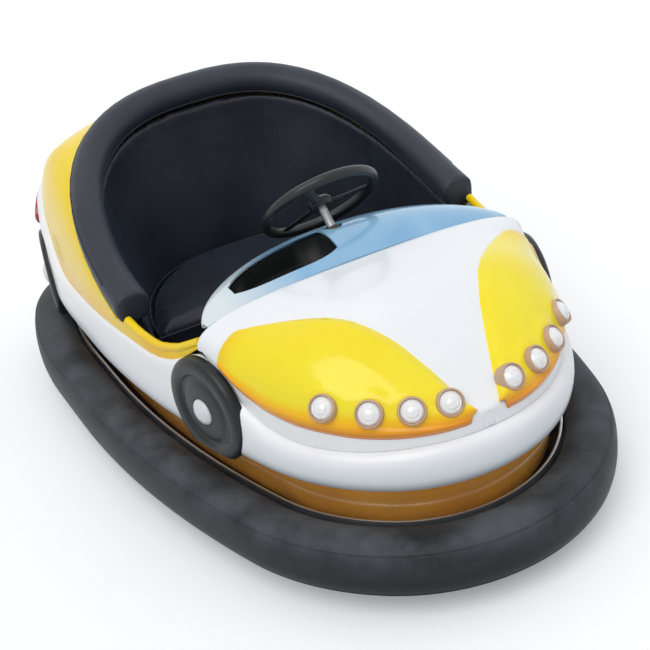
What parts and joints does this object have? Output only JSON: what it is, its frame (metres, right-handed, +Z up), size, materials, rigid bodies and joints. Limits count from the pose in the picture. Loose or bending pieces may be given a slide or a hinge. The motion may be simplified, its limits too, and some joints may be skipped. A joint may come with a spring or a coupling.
{
  "type": "bumper car",
  "caption": "Fairground bumper car: rubber-ringed oval body with a curved bench seat, low nose with lamps, and a steered drive wheel.",
  "frame": {"origin": "on the floor, under the centre of the bumper plan", "axes": "+X forward to the nose, +Y to the left side, +Z up"},
  "size_m": [1.95, 1.15, 0.762],
  "materials": {
    "bumper_rubber": "dusty matt",
    "bright_steel": "brushed",
    "chassis_black": "semi-matt",
    "orange_shell": "gloss",
    "white_shell": "gloss",
    "yellow_shell": "gloss",
    "black_steel": "satin",
    "black_vinyl": "soft sheen",
    "floor_rubber": "matt",
    "pale_liner": "gloss",
    "pale_cowl": "gloss",
    "black_plastic": "matt",
    "red_plastic": "gloss",
    "grip_black": "satin",
    "bezel_tan": "satin",
    "lamp_clear": "clear",
    "lamp_red": "gloss",
    "dummy_black": "satin",
    "cap_white": "gloss",
    "motor_grey": "satin",
    "wheel_iron": "satin",
    "wheel_tyre": "matt"
  },
  "bodies": {
    "car": {"bumper_ring": "bumper_rubber", "bumper_hoop": "bright_steel", "chassis_pan": "chassis_black", "chassis_rails": "chassis_black", "body_upstand": "chassis_black", "lower_skirt": "orange_shell", "body_band": "white_shell", "hood": "white_shell", "wing_left": "yellow_shell", "wing_right": "yellow_shell", "rear_cowl": "yellow_shell", "pole_socket": "black_steel", "rim_pad": "black_vinyl", "seat_tub": "black_vinyl", "seat_cushion": "black_vinyl", "seat_box": "black_steel", "floor_mat": "floor_rubber", "cockpit_liner": "pale_liner", "bulkhead": "black_steel", "dash_cowl": "pale_cowl", "dash_tray": "black_plastic", "dash_panel": "black_plastic", "dash_button": "red_plastic", "pedal": "bright_steel", "column_tube": "black_steel", "headlamp_bezels": "bezel_tan", "headlamp_lenses": "lamp_clear", "tail_lamps": "lamp_red", "dummy_wheels_front": "dummy_black", "dummy_wheels_rear": "dummy_black", "hub_caps": "cap_white", "drive_bridge": "chassis_black", "rear_brackets": "chassis_black", "rear_axles": "bright_steel"},
    "steering": {"steering_wheel": "grip_black", "steering_shaft": "bright_steel"},
    "drive_unit": {"drive_fork": "bright_steel", "drive_motor": "motor_grey", "drive_axle": "bright_steel"},
    "drive_wheel": {"drive_rim": "wheel_iron", "drive_tyre": "wheel_tyre"},
    "rear_left_wheel": {"rear_rim_left": "wheel_iron", "rear_tyre_left": "wheel_tyre"},
    "rear_right_wheel": {"rear_rim_right": "wheel_iron", "rear_tyre_right": "wheel_tyre"}
  },
  "joints": [
    {"name": "steering_turn", "type": "hinge", "parent": "car", "child": "steering", "pos_m": [0.5, 0, 0.35], "axis": [-0.7071, 0, 0.7071], "range_deg": [-180, 180]},
    {"name": "drive_swivel", "type": "hinge", "parent": "car", "child": "drive_unit", "pos_m": [0.5, 0, 0.25], "axis": [0, 0, 1], "range_deg": [-180, 180]},
    {"name": "drive_spin", "type": "hinge", "parent": "drive_unit", "child": "drive_wheel", "pos_m": [0.5, 0, 0.1], "axis": [0, 1, 0], "continuous": true},
    {"name": "rear_left_spin", "type": "hinge", "parent": "car", "child": "rear_left_wheel", "pos_m": [-0.56, 0.318, 0.08], "axis": [0, 1, 0], "continuous": true},
    {"name": "rear_right_spin", "type": "hinge", "parent": "car", "child": "rear_right_wheel", "pos_m": [-0.56, -0.318, 0.08], "axis": [0, 1, 0], "continuous": true}
  ],
  "couplings": [
    {"joint": "drive_swivel", "follows": "steering_turn", "ratio": 1}
  ]
}
